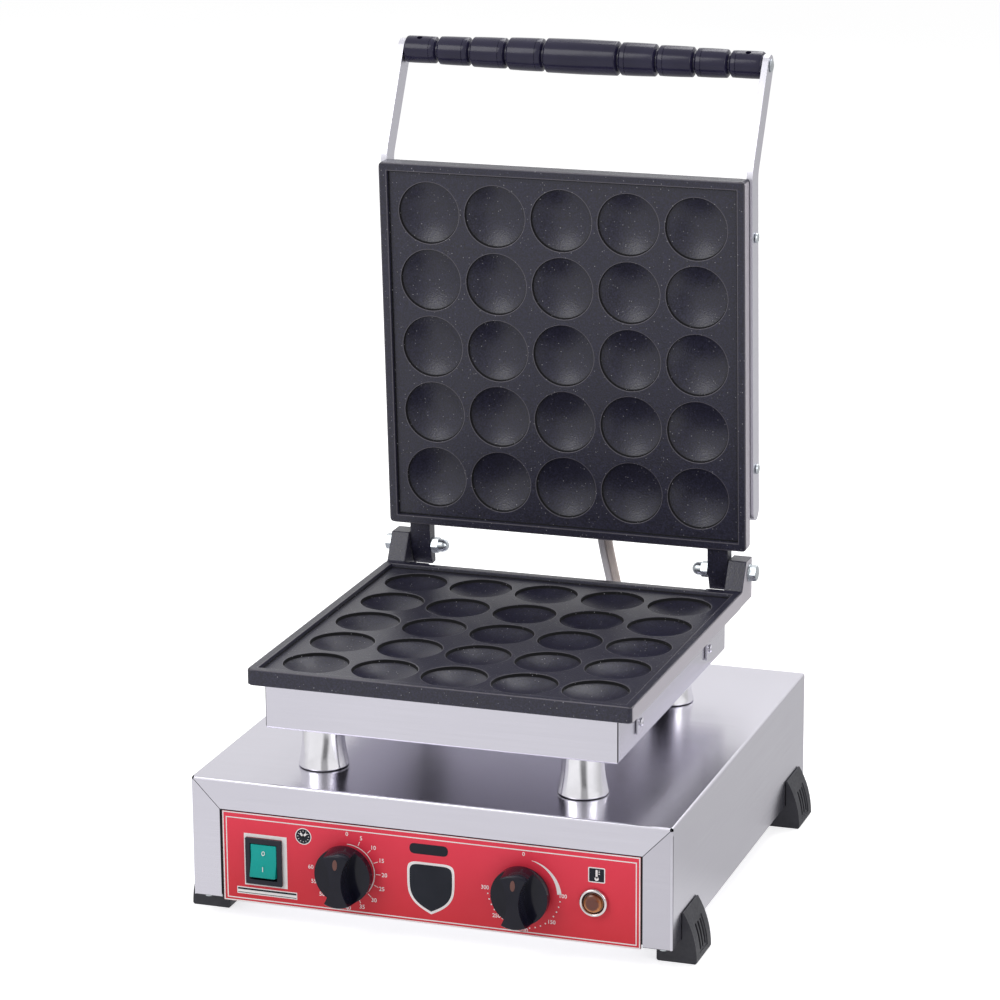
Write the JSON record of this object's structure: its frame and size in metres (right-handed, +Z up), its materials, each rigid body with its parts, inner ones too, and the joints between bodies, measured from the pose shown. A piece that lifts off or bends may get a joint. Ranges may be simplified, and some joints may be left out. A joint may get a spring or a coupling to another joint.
{
  "type": "bubble waffle maker",
  "caption": "Countertop bubble waffle maker: hinged cast plates with round cups over a steel base with a rocker switch, timer and thermostat knobs and a signal lamp.",
  "frame": {"origin": "middle of the whole open object's footprint, on the surface it stands on", "axes": "+Z up, the control panel faces -Y, +X to the right seen from the front"},
  "size_m": [0.3452, 0.3641, 0.535],
  "materials": {
    "box_steel": "brushed",
    "rod_steel": "satin",
    "post_aluminium": "polished",
    "arm_aluminium": "satin",
    "zinc_plate": "zinc plated",
    "lamp_chrome": "polished",
    "cast_plate": "dark non-stick coating",
    "black_plastic": "gloss",
    "foot_rubber": "matt",
    "panel_print": "printed film on sheet",
    "green_rocker": "gloss",
    "amber_lens": "clear tint",
    "ceramic_wool": "fibrous",
    "ceramic": "matt",
    "sleeve_grey": "woven sleeve",
    "sleeve_sand": "woven sleeve"
  },
  "bodies": {
    "base": {"housing_shell": "box_steel", "back_panel": "box_steel", "bottom_plate": "box_steel", "foot_front_left": "foot_rubber", "foot_front_right": "foot_rubber", "foot_rear_left": "foot_rubber", "foot_rear_right": "foot_rubber", "foot_screw_front_left": "zinc_plate", "foot_screw_front_right": "zinc_plate", "foot_screw_rear_left": "zinc_plate", "foot_screw_rear_right": "zinc_plate", "bottom_screw_left": "zinc_plate", "bottom_screw_right": "zinc_plate", "control_panel": "panel_print", "switch_body": "black_plastic", "timer_body": "ceramic", "thermostat_body": "black_plastic", "lamp_bezel": "lamp_chrome", "lamp_lens": "amber_lens", "post_front_left": "post_aluminium", "post_front_right": "post_aluminium", "post_rear_left": "post_aluminium", "post_rear_right": "post_aluminium", "lower_pan": "box_steel", "pan_clip_front_left": "box_steel", "pan_clip_front_right": "box_steel", "pan_clip_rear_left": "box_steel", "pan_clip_rear_right": "box_steel", "lower_plate": "cast_plate", "hinge_bolt_left": "zinc_plate", "hinge_bolt_right": "zinc_plate", "acorn_nut_left": "zinc_plate", "acorn_nut_right": "zinc_plate", "lower_heating_element": "rod_steel", "lower_insulation": "ceramic_wool", "thermostat_bulb": "rod_steel", "base_lead_bush": "black_plastic", "mains_inlet_bush": "black_plastic", "terminal_block": "ceramic", "link_lead_left": "sleeve_grey", "link_lead_right": "sleeve_sand"},
    "lid": {"upper_plate": "cast_plate", "upper_cover": "box_steel", "upper_heating_element": "rod_steel", "upper_insulation": "ceramic_wool", "lid_arm_left": "arm_aluminium", "lid_arm_right": "arm_aluminium", "handle_grip": "black_plastic", "handle_rod": "rod_steel", "arm_screw_low_left": "zinc_plate", "arm_screw_low_right": "zinc_plate", "arm_screw_high_left": "zinc_plate", "arm_screw_high_right": "zinc_plate", "lid_lead_bush": "black_plastic"},
    "rocker": {"rocker": "green_rocker"},
    "timer": {"timer_knob": "black_plastic", "timer_shaft": "rod_steel"},
    "thermostat": {"thermostat_knob": "black_plastic", "thermostat_shaft": "rod_steel"}
  },
  "joints": [
    {"name": "lid_hinge", "type": "hinge", "parent": "base", "child": "lid", "pos_m": [0, 0.1372, 0.1765], "axis": [1, 0, 0], "range_deg": [0, 87], "deforming": ["link_lead_left", "link_lead_right"]},
    {"name": "rocker_tilt", "type": "hinge", "parent": "base", "child": "rocker", "pos_m": [-0.1125, -0.1558, 0.044], "axis": [1, 0, 0], "range_deg": [0, 16]},
    {"name": "timer_turn", "type": "hinge", "parent": "base", "child": "timer", "pos_m": [-0.0551, -0.1602, 0.044], "axis": [0, 1, 0], "range_deg": [0, 270]},
    {"name": "thermostat_turn", "type": "hinge", "parent": "base", "child": "thermostat", "pos_m": [0.0643, -0.1602, 0.044], "axis": [0, 1, 0], "range_deg": [0, 270]}
  ]
}
